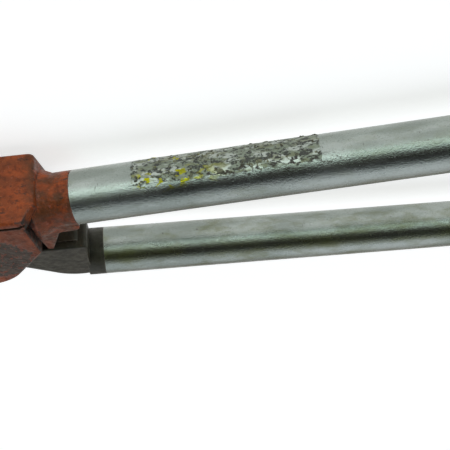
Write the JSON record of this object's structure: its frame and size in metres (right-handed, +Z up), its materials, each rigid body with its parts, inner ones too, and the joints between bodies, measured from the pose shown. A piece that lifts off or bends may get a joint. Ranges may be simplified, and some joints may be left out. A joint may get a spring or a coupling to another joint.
{
  "type": "bolt cutters",
  "caption": "Long-handled compound bolt cutters, lying closed: painted fork arm, dark tongue arm, plated tubes with ribbed grips, bevelled jaws tied by straps.",
  "frame": {"origin": "on the centre pivot's axis, in the plane that the closed tool rests on", "axes": "+X towards the jaws, +Z up along the pivots, so the handles run towards -X and swing in the XY plane; right and left are seen from the grips"},
  "size_m": [0.6143, 0.1936, 0.0525],
  "materials": {
    "orange_paint": "worn satin paint",
    "dark_forging": "oily forged",
    "tube_steel": "satin plated",
    "grip_rubber": "matte",
    "blade_steel": "ground edge, dark body",
    "strap_steel": "satin",
    "fastener_steel": "zinc plated"
  },
  "bodies": {
    "right_handle": {"right_arm": "orange_paint", "right_tube": "tube_steel", "right_grip": "grip_rubber", "pivot_bolt": "fastener_steel", "pivot_washer": "fastener_steel", "pivot_nut": "fastener_steel", "right_tail_bolt": "fastener_steel", "right_tail_washer": "fastener_steel", "right_tail_nut": "fastener_steel"},
    "left_handle": {"left_arm": "dark_forging", "left_tube": "tube_steel", "left_grip": "grip_rubber", "left_tail_bolt": "fastener_steel", "left_tail_washer": "fastener_steel", "left_tail_nut": "fastener_steel"},
    "right_jaw": {"right_blade": "blade_steel"},
    "left_jaw": {"left_blade": "blade_steel"},
    "straps": {"top_strap": "strap_steel", "bottom_strap": "strap_steel", "right_strap_bolt": "fastener_steel", "right_strap_washer": "fastener_steel", "right_strap_nut": "fastener_steel", "left_strap_bolt": "fastener_steel", "left_strap_washer": "fastener_steel", "left_strap_nut": "fastener_steel"}
  },
  "joints": [
    {"name": "handle_hinge", "type": "hinge", "parent": "right_handle", "child": "left_handle", "pos_m": [0, 0, 0.021], "axis": [0, 0, -1], "range_deg": [0, 46]},
    {"name": "right_blade_hinge", "type": "hinge", "parent": "right_handle", "child": "right_jaw", "pos_m": [0.03, -0.0398, 0.021], "axis": [0, 0, -1], "range_deg": [0, 44]},
    {"name": "left_blade_hinge", "type": "hinge", "parent": "left_handle", "child": "left_jaw", "pos_m": [0.03, 0.0398, 0.021], "axis": [0, 0, 1], "range_deg": [0, 44]},
    {"name": "strap_hinge", "type": "hinge", "parent": "right_jaw", "child": "straps", "pos_m": [0.066, -0.0125, 0.021], "axis": [0, 0, 1], "range_deg": [0, 21]}
  ],
  "couplings": [
    {"joint": "right_blade_hinge", "follows": "handle_hinge", "ratio": 0.955},
    {"joint": "left_blade_hinge", "follows": "handle_hinge", "ratio": 0.955},
    {"joint": "strap_hinge", "follows": "handle_hinge", "ratio": 0.455}
  ]
}
